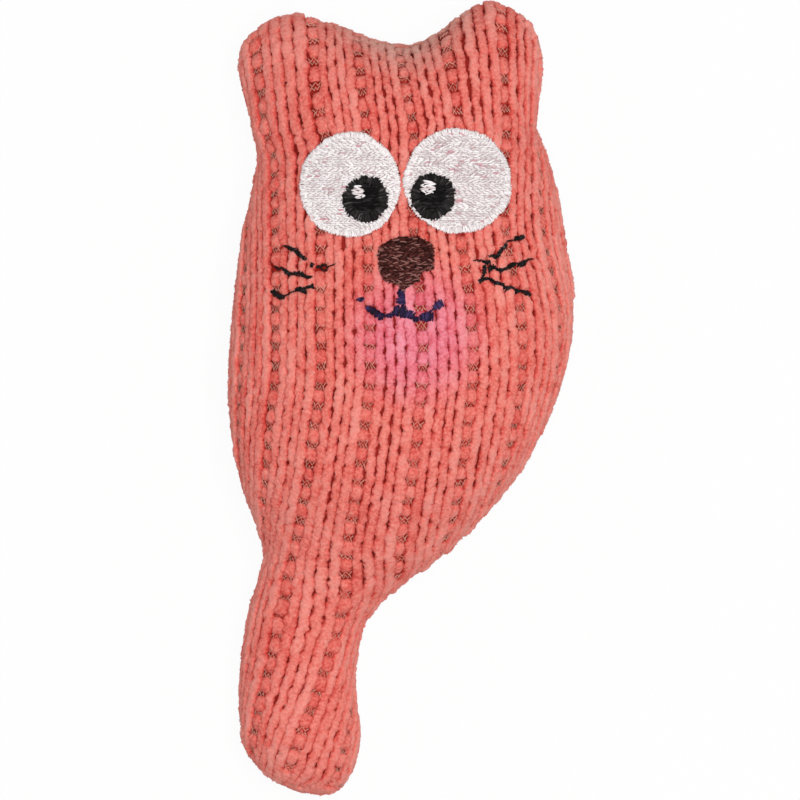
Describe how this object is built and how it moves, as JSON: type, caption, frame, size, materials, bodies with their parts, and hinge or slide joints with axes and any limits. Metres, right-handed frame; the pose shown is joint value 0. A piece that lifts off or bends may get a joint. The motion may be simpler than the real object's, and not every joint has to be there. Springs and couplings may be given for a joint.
{
  "type": "stuffed catnip toy",
  "caption": "Flat-sewn stuffed cat toy in ribbed chenille knit with ear corners, embroidered face, a bending stuffed tail and a catnip pouch inside the filling.",
  "frame": {"origin": "middle of the toy's outline, on the surface that its back lies on", "axes": "+Z out of the face, +Y from the tail to the ears, +X to the right of someone looking at the face"},
  "size_m": [0.0737, 0.1697, 0.0422],
  "materials": {
    "coral_chenille": "velvety chenille knit in a wide rib, matt with a soft sheen",
    "seam_thread": "spun polyester sewing thread",
    "fibrefill": "loose polyester fibre filling",
    "pouch_cloth": "thin nonwoven cloth",
    "dried_catnip": "dried chopped leaf, loose",
    "backing_cloth": "nonwoven embroidery backing",
    "white_thread": "shiny embroidery thread in satin stitch",
    "black_thread": "shiny embroidery thread in satin stitch",
    "brown_thread": "shiny embroidery thread in satin stitch",
    "plum_thread": "shiny embroidery thread in satin stitch"
  },
  "bodies": {
    "body": {"front_panel": "coral_chenille", "back_panel": "coral_chenille", "seam_thread": "seam_thread", "closing_thread": "seam_thread", "head_fill": "fibrefill", "belly_fill": "fibrefill", "catnip_pouch_front": "pouch_cloth", "catnip_pouch_back": "pouch_cloth", "dried_catnip": "dried_catnip", "face_backing": "backing_cloth", "left_eye_white": "white_thread", "right_eye_white": "white_thread", "left_pupil": "black_thread", "right_pupil": "black_thread", "left_glint": "white_thread", "right_glint": "white_thread", "nose": "brown_thread", "mouth": "plum_thread", "left_whisker_upper": "black_thread", "left_whisker_middle": "black_thread", "left_whisker_lower": "black_thread", "right_whisker_upper": "black_thread", "right_whisker_middle": "black_thread", "right_whisker_lower": "black_thread"},
    "tail": {"tail_front_panel": "coral_chenille", "tail_back_panel": "coral_chenille", "tail_seam_thread": "seam_thread", "tail_fill": "fibrefill"}
  },
  "joints": [
    {"name": "tail_sway", "type": "hinge", "parent": "body", "child": "tail", "pos_m": [-0.0202, -0.048, 0.0097], "axis": [0, 0, 1], "range_deg": [-25, 25], "stiffness_Nm_per_rad": 0.01}
  ]
}
